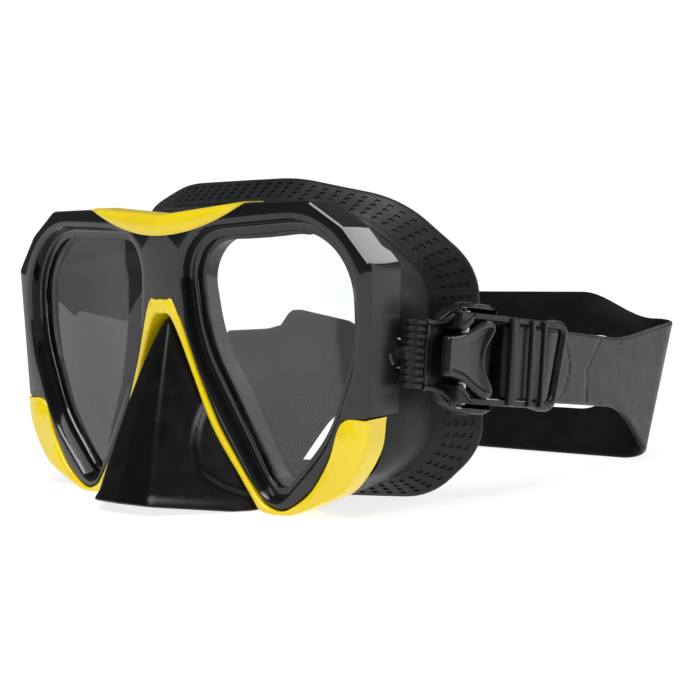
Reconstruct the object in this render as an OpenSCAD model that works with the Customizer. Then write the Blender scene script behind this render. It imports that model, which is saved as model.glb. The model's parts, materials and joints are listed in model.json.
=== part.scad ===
// Two-lens dive mask with side buckles and a split strap, standing on its lower rim.
// The front faces -Y, +Z is up, and "left" is the wearer's left, on +X.
// Depths (y) are measured back from the front face; in_frame() then centres the whole.

/* [Front frame] */
// Half width of the front frame
half_w = 84; // [83:0.5:85]
// Height of the front frame
frame_h = 96; // [95:0.5:98]
// Depth of the frame walls
frame_d = 13.5; // [13.5:0.1:14]
// Angle that each lens plane turns outward, in degrees
wrap = 5.4; // [5:0.1:5.8]

/* [Lenses] */
// Thickness of the glass
lens_t = 3; // [2.6:0.1:3.1]
// Depth of the glass behind the front face
lens_in = 5; // [4.6:0.1:5.1]

/* [Skirt] */
// Wall thickness of the silicone
skirt_t = 2; // [1.6:0.1:2.2]
// Half width of the flange that meets the face
flange_w = 81; // [79:0.5:81]
// Height of the flange
flange_h = 104; // [101:1:107]
// Reach of the nose pocket in front of the lenses
nose_out = 22; // [19:1:25]

/* [Strap] */
// Height of the strap at the buckles
strap_h = 24; // [20:1:24]
// Height of the widened strap behind the head
back_h = 52; // [44:1:52]
// Thickness of the strap
strap_t = 2.2; // [1.8:0.1:2.3]
// Distance from the swing axis to the back of the strap
strap_len = 148; // [140:1:149]
// Angle that the strap hangs below level, in degrees
droop = 8; // [7:0.5:8]

/* [Hidden] */
$fn = 48;
corner_steps = 6;   // straight pieces in each rounded corner
bite = 0.5;         // how far a cutter passes the face that it cuts
seam = 3;           // how far each half runs past the middle before it is trimmed there

// Swing axis of the links, which runs along X
swing_y = 22;
swing_z = 49.5;

// Behind the head the strap leans back towards its upper edge, and hangs a little
lean = 0.33;
sag = 4;
crest = 10;     // how much higher the strap's upper edge is in the middle than at its corners

// The whole depth is centred on the origin
back_y = swing_y + (strap_len + strap_t / 2 + lean * (back_h + crest) / 2) * cos(droop)
    + (back_h / 2 + crest - sag) * sin(droop);
shift_y = (nose_out - back_y) / 2;

// Stack of parts behind each glass
lip_y = lens_in + lens_t + 0.1;
lip_t = 1.3;
ring_y = lip_y + lip_t + 0.1;
ring_t = 2.4;
web_y = frame_d + 0.3;
pocket = 0.9;       // the lens pocket's margin round the opening
sight = -3;         // the ledge that holds the glass, inside the opening
tunnel = -4.6;      // the inner face of the skirt round each window

// Buckle parts: x is the distance from the middle, s the distance along the strap
pin_r = 1.5;
roller_pin_r = 1;
pin_gap = 0.05;
lug_in = half_w - 5.8;
lug_out = half_w - 2.2;
link_in = half_w - 1.4;
link_w = 5;
link_h = 20.4;      // height of the ribbed link
slot_in = link_in + link_w / 2;
tongue_end = 9.4;
lever_s = 19;
lever_x = 90.5;
lever_half = 12;
plate_x = 84;       // inner face of the bracket
rail_x = 86.4;      // inner face of the strap guide
rail_top = 92.8;
roller_s = 45;
roller_x = 86.8;
roller_r = 2.6;
turn_r = roller_r + 0.4 + strap_t / 2;
rail_in = strap_h / 2 + 0.6;
rail_out = rail_in + 1.4;
ear_out = rail_out + 3;
guide_end = 72;

// ---------- outlines ----------

function unit(v) = v / norm(v);

function flat(c) = [c.x, c.y];

// Arc that rounds corner b, between a and c, with radius r
function corner_arc(a, b, c, r) =
    let (u = unit(a - b), v = unit(c - b), half = acos(u * v) / 2)
    let (centre = b + unit(u + v) * r / sin(half))
    let (p = b + u * r / tan(half) - centre, q = b + v * r / tan(half) - centre)
    let (from = atan2(p.y, p.x), turn = atan2(p.x * q.y - p.y * q.x, p * q))
    [for (i = [0:corner_steps])
        let (angle = from + turn * i / corner_steps)
        centre + r * [cos(angle), sin(angle)]];

// Closed outline through [x, y, radius] corners
function rounded(cs) = [
    for (i = [0:len(cs) - 1])
        each corner_arc(flat(cs[(i + len(cs) - 1) % len(cs)]), flat(cs[i]),
                        flat(cs[(i + 1) % len(cs)]), cs[i].z)];

// Open path through [x, y, radius] corners, whose two ends stay sharp
function path(cs) = concat(
    [flat(cs[0])],
    [for (i = [1:len(cs) - 2]) each corner_arc(flat(cs[i - 1]), flat(cs[i]), flat(cs[i + 1]), cs[i].z)],
    [flat(cs[len(cs) - 1])]);

// The same path with no piece longer than step
function split(pts, step) = concat(
    [for (i = [0:len(pts) - 2])
        let (n = ceil(norm(pts[i + 1] - pts[i]) / step))
        for (k = [0:n - 1]) pts[i] + (pts[i + 1] - pts[i]) * k / n],
    [pts[len(pts) - 1]]);

// Direction of an open path at point i
function heading(pts, i) = unit(pts[min(i + 1, len(pts) - 1)] - pts[max(i - 1, 0)]);

// Length of an open path from its start to point i
function length_to(pts, i) = i == 0 ? 0 : length_to(pts, i - 1) + norm(pts[i] - pts[i - 1]);

function mix(a, b, t) = a + (b - a) * t;

// Smooth step from 0 to 1
function ease(t) = let (c = min(1, max(0, t))) c * c * (3 - 2 * c);

// Counter-clockwise outline moved outward by d
function grown(pts, d) = [
    for (i = [0:len(pts) - 1])
        let (t = unit(pts[(i + 1) % len(pts)] - pts[(i + len(pts) - 1) % len(pts)]))
        pts[i] + d * [t.y, -t.x]];

// The corners of one half followed by those of the other
function whole(cs) = concat(cs, [for (i = [len(cs) - 1:-1:0]) [-cs[i].x, cs[i].y, cs[i].z]]);

// Lens opening in one half of the front face
opening = rounded([
    [43, 0.8, 6.5], [66.5, 24, 50], [77.5, 52, 45], [76.5, frame_h - 5, 24],
    [8.5, frame_h - 8, 15], [12, 52, 55]
]);

// Outer edge of one half: over the bridge, down the side, round the tip and up the nose
upper_edge = [[-seam, frame_h - 3.5], [36, frame_h], [61, frame_h], [half_w, frame_h - 20]];
lower_edge = concat(
    [[half_w - 2.5, 31], [78.5, 16], [70, 8], [58, 2.5], [50, 0]],
    corner_arc([54, 0], [40.5, 0], [35, 5], 2));
nose_edge = [[20, 26], [12, 44], [4.5, 60], [-seam, 62.5]];
// Where the lower trim meets the frame, from the nose down to the tip and out to the cheek
trim_edge = [
    [-seam, 66.3], [5.5, 66], [8, 60], [14.2, 44], [22.4, 27], [33, 11.5], [41, 2.6], [46, 1.2],
    [51, 2.6], [59, 8.2], [66, 18], [71.5, 30]
];

// The black part of one half, above the lower trim
module black_face() {
    polygon(concat(upper_edge, [lower_edge[0]], [for (i = [len(trim_edge) - 1:-1:0]) trim_edge[i]]));
}

module trim_face() {
    polygon(concat(trim_edge, lower_edge, nose_edge));
}

// Crescent over the bridge, with a sagging lower edge
module bridge_face() {
    reach = 36;
    polygon(concat(
        [for (x = [-seam:3:reach]) [x, frame_h - 9.5 + 9 * pow(x / reach, 2)]],
        [[reach, frame_h + 0.4], [-seam, frame_h - 3]]));
}

module band_face(out, inn) {
    difference() {
        polygon(grown(opening, out));
        polygon(grown(opening, inn));
    }
}

// ---------- placing ----------

module in_frame() {
    translate([0, shift_y, 0]) children();
}

module on_side(left) {
    mirror([left ? 0 : 1, 0, 0]) children();
}

module both() {
    on_side(true) children();
    on_side(false) children();
}

module box(from, to) {
    translate(from) cube(to - from);
}

// Both halves of something drawn for +X, each trimmed at the middle
module joined() {
    both() difference() {
        children();
        box([-4 * seam, -2 * seam, -bite], [0, 2 * frame_d, frame_h + 4 * seam]);
    }
}

// Thickens a face drawn as [x, z] from depth y, in the turned plane of one lens
module raised(y, d) {
    rotate([0, 0, wrap]) translate([0, y + d, 0]) rotate([90, 0, 0]) linear_extrude(d) children();
}

// Along the hanging strap: x sideways, y along the strap and z across it
module along_strap() {
    translate([0, swing_y, swing_z]) rotate([-droop, 0, 0]) children();
}

// Thickens an outline of [along, across] points sideways from x0 to x1
module slab(x0, x1) {
    translate([x0, 0, 0]) rotate([90, 0, 90]) linear_extrude(x1 - x0) children();
}

module rod_x(x0, x1, r) {
    translate([x0, 0, 0]) rotate([0, 90, 0]) cylinder(h = x1 - x0, r = r);
}

// Triangles between m rings of n points, closed on itself or open
function ring_faces(m, n, closed) = [
    for (i = [0:(closed ? m - 1 : m - 2)], j = [0:n - 1])
        let (a = i * n + j, b = i * n + (j + 1) % n)
        let (k = (i + 1) % m, c = k * n + (j + 1) % n, d = k * n + j)
        each [[a, b, c], [a, c, d]]];

// Solid through equal rings, with flat ends
module loft(rings) {
    m = len(rings);
    n = len(rings[0]);
    ends = [[for (j = [n - 1:-1:0]) j], [for (j = [0:n - 1]) (m - 1) * n + j]];
    polyhedron([for (r = rings) each r], concat(ring_faces(m, n, false), ends));
}

// ---------- front frame, glass and trims ----------

module front_frame() {
    lug_r = 5;
    color("#15161a") in_frame() joined() difference() {
        union() {
            difference() {
                raised(0, frame_d) black_face();
                raised(-1, 9) bridge_face();
                raised(-1, lens_in) polygon(opening);
                raised(0, frame_d) polygon(grown(opening, sight));
                raised(lens_in, frame_d) polygon(grown(opening, pocket));
            }
            box([lug_in, frame_d + 3, swing_z - lug_r], [lug_out, swing_y, swing_z + lug_r]);
            translate([0, swing_y, swing_z]) rod_x(lug_in, lug_out, lug_r);
        }
        translate([0, swing_y, swing_z]) rod_x(lug_in - bite, lug_out + bite, pin_r);
    }
}

module lens(left) {
    color("#9fb4bd", 0.35) in_frame() on_side(left)
        raised(lens_in, lens_t) polygon(grown(opening, 0.7));
}

module lens_retainer(left) {
    color("#26282c") in_frame() on_side(left)
        raised(ring_y, ring_t) band_face(0.8, -2.6);
}

module bridge_trim() {
    color("#f2dc12") in_frame() joined()
        raised(-0.6, 8.6) bridge_face();
}

module lower_trim() {
    color("#f2dc12") in_frame() joined() difference() {
        raised(-0.4, frame_d) trim_face();
        raised(lens_in, frame_d) polygon(grown(opening, pocket));
    }
}

// ---------- skirt ----------

// Depth of the flange, which follows a face: further back at the temples
function flange_y(x) = 37 + 25 * pow(x / flange_w, 2);

function front_y(x) = web_y + abs(x) * tan(wrap);

front_ring = rounded(whole([
    [50, 2, 10], [74, 14, 12], [76, 74, 14], [60, frame_h - 5, 10], [26, frame_h - 3.5, 20]
]));
edge_ring = rounded(whole([
    [flange_w - 15, 0.3, 18], [flange_w, 16, 22], [flange_w, flange_h - 30, 24], [60, flange_h - 8, 36],
    [26, flange_h, 60]
]));

// Each ring of the skirt wall: an outline, and its depth relative to the front or to the flange
function skirt_ring(pts, in, back, to_flange) = [
    for (p = grown(pts, -in)) [p.x, (to_flange ? flange_y(p.x) : front_y(p.x)) + back, p.y]];

// Rings of the nose pocket: [height, half width at the frame, half width in front, front depth]
nose_rings = [
    [59, 3, 1.6, 1],
    [44, 10.3, 6, -nose_out * 0.34],
    [26, 18.3, 10, -nose_out * 0.68],
    [1, 35.2, 13, -nose_out]
];

function nose_ring(n, in, back) =
    let (wide = n[1] - in, front = n[2] - in / 2, y = n[3] + in)
    [for (p = rounded([[-front, y, front / 2], [front, y, front / 2], [wide, 5, 0.6],
                       [wide, back, 0.3], [-wide, back, 0.3], [-wide, 5, 0.6]]))
        [p.x, p.y, n[0]]];

module nose_pocket() {
    loft([for (n = nose_rings) nose_ring(n, 0, web_y + 5)]);
}

module nose_hollow() {
    shift = [-skirt_t, 0, 0, skirt_t];
    loft([for (i = [0:3])
        let (n = nose_rings[i])
        nose_ring([n[0] + shift[i], n[1], n[2], n[3]], skirt_t, web_y + 10)]);
}

module skirt_wall() {
    rings = [
        skirt_ring(front_ring, 0, 0, false),
        skirt_ring(edge_ring, 7, -9, true),
        skirt_ring(edge_ring, 0, -0.6, true),
        skirt_ring(edge_ring, 0, 0.8, true),
        skirt_ring(edge_ring, 15, 1, true),
        skirt_ring(edge_ring, 15, -0.5, true),
        skirt_ring(edge_ring, 5, -2.5, true),
        skirt_ring(edge_ring, 7 + skirt_t, -9.5, true),
        skirt_ring(front_ring, skirt_t, 0.8, false)
    ];
    polyhedron([for (r = rings) each r], ring_faces(len(rings), len(rings[0]), true));
}

module skirt() {
    web = [[-seam, 2], [48, 2], [74, 18], [75, 74], [56, frame_h - 4.5], [-seam, frame_h - 5.5]];
    color("#1c1d20") in_frame() difference() {
        union() {
            skirt_wall();
            nose_pocket();
            joined() raised(web_y, skirt_t) polygon(web);
            both() raised(lip_y, lip_t) band_face(0.6, tunnel);
            both() raised(lip_y, web_y - lip_y + 1) band_face(-2.9, tunnel);
        }
        both() raised(web_y - bite, skirt_t + 2 * bite) polygon(grown(opening, tunnel));
        nose_hollow();
    }
}

// ---------- links and buckles ----------

module link_pin(left) {
    color("#b9bcc0") in_frame() on_side(left) translate([0, swing_y, swing_z])
        rod_x(lug_in, link_in + link_w, pin_r);
}

module side_link(left) {
    barrel_r = 4;
    tongue_t = 1.4;
    rib_s = -6.6;
    rib_end = 5;
    rib_t = 1.1;
    ribs = 10;
    color("#1c1d20") in_frame() on_side(left) along_strap() difference() {
        union() {
            rod_x(link_in, link_in + link_w, barrel_r);
            box([slot_in, rib_s, -link_h / 2], [slot_in + tongue_t, tongue_end, link_h / 2]);
            for (i = [0:ribs - 1]) {
                low = -link_h / 2 + i * (link_h - rib_t) / (ribs - 1);
                box([link_in, rib_s, low], [link_in + link_w, rib_end, low + rib_t]);
            }
        }
        rod_x(link_in - bite, link_in + link_w + bite, pin_r + pin_gap);
    }
}

// Round bar across the strap, at side distance x and length s along it
module rod_across(x, s, half, r) {
    translate([x, s, -half]) cylinder(h = 2 * half, r = r);
}

// Outline of the bracket's upper half, [along, across], and of the ear that stands on it
bracket_edge = [
    [5.4, link_h / 2 + 0.9], [11.5, 11.8], [15, 15.2], [20, ear_out], [28, ear_out], [33, ear_out - 1.4]
];
ear_edge = [
    [16, rail_out + 0.1], [16, ear_out - 1.8], [21.5, ear_out - 0.2], [28, ear_out - 0.2],
    [32.8, ear_out - 1.6], [32.8, rail_out + 0.1]
];

function across(pts) = [for (p = pts) [p.x, -p.y]];

function backwards(pts) = [for (i = [len(pts) - 1:-1:0]) pts[i]];

module bracket(left) {
    plate_t = 2.3;
    socket_t = 3.2;
    ear_h = 9;
    slot = [5, -link_h / 2 - 0.1];
    socket = [[5.6, link_h / 2 + 0.6], [10.2, link_h / 2 + 0.6]];
    color("#17181b") in_frame() on_side(left) along_strap() difference() {
        union() {
            slab(plate_x, plate_x + plate_t) polygon(concat(bracket_edge, backwards(across(bracket_edge))));
            slab(plate_x, plate_x + socket_t) polygon(concat(socket, backwards(across(socket))));
            slab(plate_x, plate_x + ear_h) polygon(ear_edge);
            slab(plate_x, plate_x + ear_h) polygon(across(ear_edge));
        }
        // slot for the tongue of the link, and the bore for the lever pin
        box([slot_in - 0.1, slot.x, slot.y], [slot_in + 1.5, tongue_end + 0.1, -slot.y]);
        rod_across(lever_x, lever_s, ear_out + bite, pin_r);
    }
}

module strap_guide(left) {
    bar_x = roller_x + turn_r + strap_t / 2 + 0.3;
    bar_t = 1.6;
    bars = [[39, 3.5], [49.5, 2], [56, 2]];   // start and width of each cross bar
    color("#17181b") in_frame() on_side(left) along_strap() difference() {
        union() {
            for (side = [-1, 1])
                box([rail_x, 15.5, side > 0 ? rail_in : -rail_out],
                    [rail_top, guide_end, side > 0 ? rail_out : -rail_in]);
            // floor under the lever, the cross bars and the rear bar
            box([rail_x, 24, -rail_in - bite], [rail_x + 1.2, 36, rail_in + bite]);
            for (bar = bars)
                box([bar_x, bar[0], -rail_out], [bar_x + bar_t, bar[0] + bar[1], rail_out]);
            box([rail_top - 3, guide_end - 3.4, -rail_out], [rail_top, guide_end, rail_out]);
        }
        rod_across(lever_x, lever_s, rail_out + bite, pin_r);
        rod_across(roller_x, roller_s, rail_out + bite, roller_pin_r);
    }
}

module lever_pin(left) {
    color("#b9bcc0") in_frame() on_side(left) along_strap() rod_across(lever_x, lever_s, ear_out, pin_r);
}

module release_lever(left) {
    half = [
        [9.5, 6, 2], [17, 6.6, 12], [26.5, lever_half - 0.2, 4], [32.8, lever_half - 0.2, 2.2], [26.5, 0, 10]
    ];
    outline = rounded(concat(half, [for (i = [3:-1:0]) [half[i].x, -half[i].y, half[i].z]]));
    color("#202125") in_frame() on_side(left) along_strap() difference() {
        union() {
            slab(lever_x - 0.4, lever_x + 2.8) polygon(outline);
            rod_across(lever_x, lever_s, lever_half - 5, 2.6);
        }
        rod_across(lever_x, lever_s, lever_half, pin_r + pin_gap);
    }
}

module roller_pin(left) {
    color("#b9bcc0") in_frame() on_side(left) along_strap()
        rod_across(roller_x, roller_s, rail_out, roller_pin_r);
}

module strap_roller(left) {
    half = strap_h / 2;
    color("#2a2b2f") in_frame() on_side(left) along_strap() difference() {
        rod_across(roller_x, roller_s, half, roller_r);
        rod_across(roller_x, roller_s, half + bite, roller_pin_r + pin_gap);
    }
}

// ---------- strap ----------

// One half of the strap from above: the tail inside, round the roller, back and round the head
half_path = split(path([
    [roller_x - turn_r, 91, 0],
    [roller_x - turn_r, roller_s - turn_r, turn_r * 0.999],
    [roller_x + turn_r, roller_s - turn_r, turn_r * 0.999],
    [roller_x + turn_r, 47, 1],
    [86.8, guide_end - 1, 30],
    [82, strap_len, 8],
    [0, strap_len, 0]
]), 6);
strap_path = concat(half_path, [for (i = [len(half_path) - 2:-1:0]) [-half_path[i].x, half_path[i].y]]);
tail = 58;          // length of strap inside the roller's turn
widens_at = 64;     // length from the turn to where the strap starts to widen
widens_over = 48;
crest_over = 34;    // length from the corner over which the upper edge rises to its crest

// How far the strap at length l from its tail has widened, from 0 to 1
function widened(l) = ease((l - tail - widens_at) / widens_over);

function crested(l) = ease((l - tail - widens_at - widens_over) / crest_over);

function strap_point(p, w, wide, rise) = [p.x, p.y + lean * wide * w, w - sag * wide + crest / 2 * rise];

function strap_ring(i) =
    let (p = strap_path[i], t = heading(strap_path, i), side = [t.y, -t.x] * strap_t / 2)
    let (mid = (len(strap_path) - 1) / 2, k = i <= mid ? i : 2 * mid - i)
    let (l = length_to(half_path, k), wide = widened(l), rise = crested(l))
    let (h = (mix(strap_h, back_h, wide) + crest * rise) / 2)
    [for (c = [[1, -h], [1, h], [-1, h], [-1, -h]]) strap_point(p + c[0] * side, c[1], wide, rise)];

module strap() {
    slot_half = 64;
    slot_r = 14;
    color("#232428") in_frame() along_strap() difference() {
        loft([for (i = [0:len(strap_path) - 1]) strap_ring(i)]);
        // split that lets the two bands part behind the head
        translate([0, strap_len + 20, crest / 2 - sag]) rotate([90, 0, 0]) linear_extrude(80) hull() {
            for (x = [-1, 1]) translate([x * (slot_half - slot_r), 0]) circle(r = slot_r, $fn = 32);
        }
    }
}

front_frame();
lens(true);  // lens_left
lens(false);  // lens_right
lens_retainer(true);  // lens_retainer_left
lens_retainer(false);  // lens_retainer_right
bridge_trim();
lower_trim();
skirt();
link_pin(true);  // link_pin_left
link_pin(false);  // link_pin_right
side_link(true);  // side_link_left
side_link(false);  // side_link_right
bracket(true);  // bracket_left
bracket(false);  // bracket_right
strap_guide(true);  // strap_guide_left
strap_guide(false);  // strap_guide_right
lever_pin(true);  // lever_pin_left
lever_pin(false);  // lever_pin_right
release_lever(true);  // release_lever_left
release_lever(false);  // release_lever_right
roller_pin(true);  // roller_pin_left
roller_pin(false);  // roller_pin_right
strap_roller(true);  // strap_roller_left
strap_roller(false);  // strap_roller_right
strap();
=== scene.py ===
"""The look of the two-lens dive mask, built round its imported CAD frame.

Shapes are drawn in millimetres as in the CAD: x sideways, y back from the front face, z up.
Most are drawn for the wearer's left half, on +X, and mirrored. make() turns them into metres.
"""

import json
from math import acos, asin, atan2, cos, hypot, pi, radians, sin, tan

import bmesh
import bpy
from mathutils import Matrix, Vector


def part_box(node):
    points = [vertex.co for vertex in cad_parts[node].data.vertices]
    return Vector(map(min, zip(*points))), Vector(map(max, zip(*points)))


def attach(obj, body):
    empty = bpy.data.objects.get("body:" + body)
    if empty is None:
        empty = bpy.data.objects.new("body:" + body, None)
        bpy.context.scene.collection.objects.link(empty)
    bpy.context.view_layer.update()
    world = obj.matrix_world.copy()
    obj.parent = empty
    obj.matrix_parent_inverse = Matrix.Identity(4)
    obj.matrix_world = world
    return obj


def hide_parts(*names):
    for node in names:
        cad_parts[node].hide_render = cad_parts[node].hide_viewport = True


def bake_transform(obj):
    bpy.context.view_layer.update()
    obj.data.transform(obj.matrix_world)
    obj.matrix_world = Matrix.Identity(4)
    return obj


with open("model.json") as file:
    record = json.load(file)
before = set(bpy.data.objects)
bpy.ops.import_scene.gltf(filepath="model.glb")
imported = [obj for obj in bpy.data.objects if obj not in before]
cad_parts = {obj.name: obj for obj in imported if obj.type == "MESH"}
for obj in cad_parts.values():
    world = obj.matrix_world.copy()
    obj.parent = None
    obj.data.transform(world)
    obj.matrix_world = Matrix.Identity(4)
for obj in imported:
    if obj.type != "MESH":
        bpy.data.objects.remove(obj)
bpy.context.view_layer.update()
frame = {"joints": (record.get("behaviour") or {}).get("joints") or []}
JOINTS = {joint["name"]: joint for joint in frame["joints"]}

MM = 0.001
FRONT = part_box("front_frame")[0].y


def millimetres(point):
    """A point of the row frame in drawing millimetres."""
    return Vector((point[0] / MM, (point[1] - FRONT) / MM, point[2] / MM))


def metres(p):
    """A drawing point in the row frame."""
    return Vector((p.x * MM, p.y * MM + FRONT, p.z * MM))


def node_box(node):
    """Lowest and highest corner of a CAD node in drawing millimetres."""
    low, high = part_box(node)
    return millimetres(low), millimetres(high)


# ---------- sizes, from the frame where it states them ----------

WRAP = radians(5.4)
HALF_W = node_box("front_frame")[1].x
FRAME_H = node_box("front_frame")[1].z
FRAME_D = 13.5
GLASS_Y = 5.0
GLASS_T = 3.0
LIP_Y = GLASS_Y + GLASS_T + 0.1
WEB_Y = FRAME_D + 0.3
FLANGE_W = node_box("skirt")[1].x
FLANGE_H = node_box("skirt")[1].z
NOSE_OUT = -node_box("skirt")[0].y
SWING = millimetres(JOINTS["strap_swing"]["pos_m"])
DROOP = asin(JOINTS["lever_tilt_right"]["axis"][1])
LINK_IN, LINK_OUT = (corner.x for corner in node_box("side_link_left"))
STRAP_LEN = 148.0
STRAP_T = 2.2


def along(x, s, w):
    """A buckle point: x sideways, s along the hanging strap and w across it."""
    return Vector((x, SWING.y + s * cos(DROOP) + w * sin(DROOP), SWING.z - s * sin(DROOP) + w * cos(DROOP)))


def s_of(point):
    """How far along the strap a point of the drawing is."""
    return (point.y - SWING.y) * cos(DROOP) - (point.z - SWING.z) * sin(DROOP)


LEVER = millimetres(JOINTS["lever_tilt_left"]["pos_m"])
LEVER_X, LEVER_S = LEVER.x, s_of(LEVER)
ROLLER = millimetres(JOINTS["roller_spin_left"]["pos_m"])
ROLLER_X, ROLLER_S = ROLLER.x, s_of(ROLLER)
ROLLER_R = 2.6
TURN_R = ROLLER_R + 0.4 + STRAP_T / 2
STRAP_H = 24.0
BACK_H = 52.0
LEAN = 0.33     # how far the strap behind the head leans back towards its upper edge
SAG = 4.0
CREST = 10.0    # how much higher its upper edge is in the middle than at the corners
RAIL_IN = STRAP_H / 2 + 0.6
RAIL_OUT = RAIL_IN + 1.4
EAR_OUT = RAIL_OUT + 3.0
GUIDE_END = 72.0
RAIL_X = 86.4
RAIL_TOP = 92.8
REAR_SLANT = 0.2    # how far the guide's rear bar leans, for each mm across


# ---------- curves ----------

def ease(t):
    """Smooth step from 0 to 1."""
    t = min(1.0, max(0.0, t))
    return t * t * (3 - 2 * t)


def mix(a, b, t):
    return a + (b - a) * t


def corner_arc(a, b, c, r, steps=8):
    """Arc of radius r that rounds corner b, between a and c."""
    u = (a - b).normalized()
    v = (c - b).normalized()
    half = acos(max(-1.0, min(1.0, u.dot(v)))) / 2
    centre = b + (u + v).normalized() * r / sin(half)
    p = b + u * r / tan(half) - centre
    q = b + v * r / tan(half) - centre
    start = atan2(p.y, p.x)
    turn = atan2(p.x * q.y - p.y * q.x, p.dot(q))
    return [centre + r * Vector((cos(start + turn * i / steps), sin(start + turn * i / steps)))
            for i in range(steps + 1)]


def rounded(corners, steps=8):
    """Closed outline through (x, y, radius) corners."""
    flat = [Vector(c[:2]) for c in corners]
    count = len(corners)
    points = []
    for i, corner in enumerate(corners):
        points += corner_arc(flat[i - 1], flat[i], flat[(i + 1) % count], corner[2], steps)
    return points


def open_path(corners, steps=8):
    """Open path through (x, y, radius) corners, whose two ends stay sharp."""
    flat = [Vector(c[:2]) for c in corners]
    points = [flat[0]]
    for i in range(1, len(corners) - 1):
        points += corner_arc(flat[i - 1], flat[i], flat[i + 1], corners[i][2], steps)
    return points + [flat[-1]]


def smooth_through(points, steps):
    """Catmull-Rom curve through the points, with steps pieces between neighbours."""
    points = [Vector(p) for p in points]
    padded = [2 * points[0] - points[1]] + points + [2 * points[-1] - points[-2]]
    curve = []
    for i in range(1, len(padded) - 2):
        a, b, c, d = padded[i - 1:i + 3]
        for k in range(steps):
            t = k / steps
            curve.append(0.5 * (2 * b + (c - a) * t + (2 * a - 5 * b + 4 * c - d) * t * t
                                + (3 * b - a - 3 * c + d) * t ** 3))
    return curve + [points[-1]]


def distances(line):
    """Length along the line at each of its points."""
    lengths = [0.0]
    for a, b in zip(line, line[1:]):
        lengths.append(lengths[-1] + (b - a).length)
    return lengths


def side_at(line, i):
    """Unit vector square to a flat line at its point i."""
    t = (line[min(i + 1, len(line) - 1)] - line[max(i - 1, 0)]).normalized()
    return Vector((t.y, -t.x))


def resample(points, step, closed=False):
    """The same line with points an even distance apart, close to step."""
    line = points + [points[0]] if closed else points
    lengths = distances(line)
    count = max(2, round(lengths[-1] / step))
    result = []
    k = 0
    for i in range(count if closed else count + 1):
        target = lengths[-1] * i / count
        while k < len(line) - 2 and lengths[k + 1] < target:
            k += 1
        span = max(1e-9, lengths[k + 1] - lengths[k])
        result.append(mix(line[k], line[k + 1], (target - lengths[k]) / span))
    return result


def grown(points, d):
    """Counter-clockwise outline moved outward by d."""
    result = []
    for i, point in enumerate(points):
        t = (points[(i + 1) % len(points)] - points[i - 1]).normalized()
        result.append(point + d * Vector((t.y, -t.x)))
    return result


RAYS = 288
RAY_CENTRE = Vector((42, 52))


def ray_hits(outline):
    """Where evenly turned rays from the middle of a lens cross a closed outline."""
    hits = []
    edges = list(zip(outline, outline[1:] + outline[:1]))
    for i in range(RAYS):
        angle = 2 * pi * i / RAYS
        way = Vector((cos(angle), sin(angle)))
        far = 0.0
        for a, b in edges:
            edge = b - a
            cross = way.x * edge.y - way.y * edge.x
            if abs(cross) < 1e-9:
                continue
            start = a - RAY_CENTRE
            t = (start.x * edge.y - start.y * edge.x) / cross
            k = (start.x * way.y - start.y * way.x) / cross
            if 0 <= k <= 1 and t > far:
                far = t
        hits.append(RAY_CENTRE + way * far)
    return hits


def relaxed(points, passes):
    """Closed outline with each point drawn towards the middle of its neighbours."""
    for _ in range(passes):
        points = [points[i] / 2 + (points[i - 1] + points[(i + 1) % len(points)]) / 4
                  for i in range(len(points))]
    return points


# ---------- meshes ----------

def add_grid(bm, rows, close_rows=False, close_columns=True, cap=False):
    """Quads between rows of points.

    close_columns joins the ends of each row, close_rows the last row to the first.
    """
    verts = [[bm.verts.new(p) for p in row] for row in rows]
    m, n = len(rows), len(rows[0])
    faces = []
    for i in range(m if close_rows else m - 1):
        for j in range(n if close_columns else n - 1):
            a, b = verts[i], verts[(i + 1) % m]
            k = (j + 1) % n
            faces.append(bm.faces.new((a[j], a[k], b[k], b[j])))
    if cap:
        bm.faces.new(verts[0][::-1])
        bm.faces.new(verts[-1])
    return faces


def bands(inner, outer, profile):
    """Rows of (u, y, z) points across the band between two rails.

    The profile is a list of (rail, mm, y): "a" is measured outward from the inner rail and "b" inward from
    the outer one. Where the band is narrow, both shrink with it.
    """
    rows = []
    for a, b in zip(inner, outer):
        span = b - a
        width = span.length
        way = span / width if width > 1e-6 else Vector((0, 0))
        row = []
        for rail, mm, y in profile:
            d = mm if mm < 0 else min(mm, 0.45 * width)
            p = a + way * d if rail == "a" else b - way * d
            row.append(Vector((p.x, y, p.y)))
        rows.append(row)
    return rows


def add_plate(bm, outline, y0, y1, bevel):
    """Flat plate between two depths, with its rim rounded on both sides."""
    steps = 3
    inset = [bevel * (1 - sin(pi / 2 * i / steps)) for i in range(steps + 1)]
    depth = [bevel * (1 - cos(pi / 2 * i / steps)) for i in range(steps + 1)]
    sides = list(zip(inset, [y0 + d for d in depth]))
    sides += [(i, y1 - d) for i, d in reversed(list(zip(inset, depth)))]
    rows = [[Vector((p.x, y, p.y)) for p in grown(outline, -i)] for i, y in sides]
    add_grid(bm, rows, cap=True)


def turn_outward(bm):
    """Turns a lens plane's drawing by the wrap angle."""
    for v in bm.verts:
        u, y = v.co.x, v.co.y
        v.co.x = u * cos(WRAP) - y * sin(WRAP)
        v.co.y = u * sin(WRAP) + y * cos(WRAP)


def mirror_whole(bm):
    """Cuts the drawing at the middle and adds its mirror image."""
    geometry = bm.verts[:] + bm.edges[:] + bm.faces[:]
    bmesh.ops.bisect_plane(bm, geom=geometry, dist=1e-5, plane_co=(0, 0, 0), plane_no=(1, 0, 0),
                           clear_inner=True)
    for v in bm.verts:
        if abs(v.co.x) < 1e-4:
            v.co.x = 0
    geometry = bm.verts[:] + bm.edges[:] + bm.faces[:]
    bmesh.ops.mirror(bm, geom=geometry, axis="X", merge_dist=1e-3)


def flip_side(bm):
    for v in bm.verts:
        v.co.x = -v.co.x
    bmesh.ops.reverse_faces(bm, faces=bm.faces[:])


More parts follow.
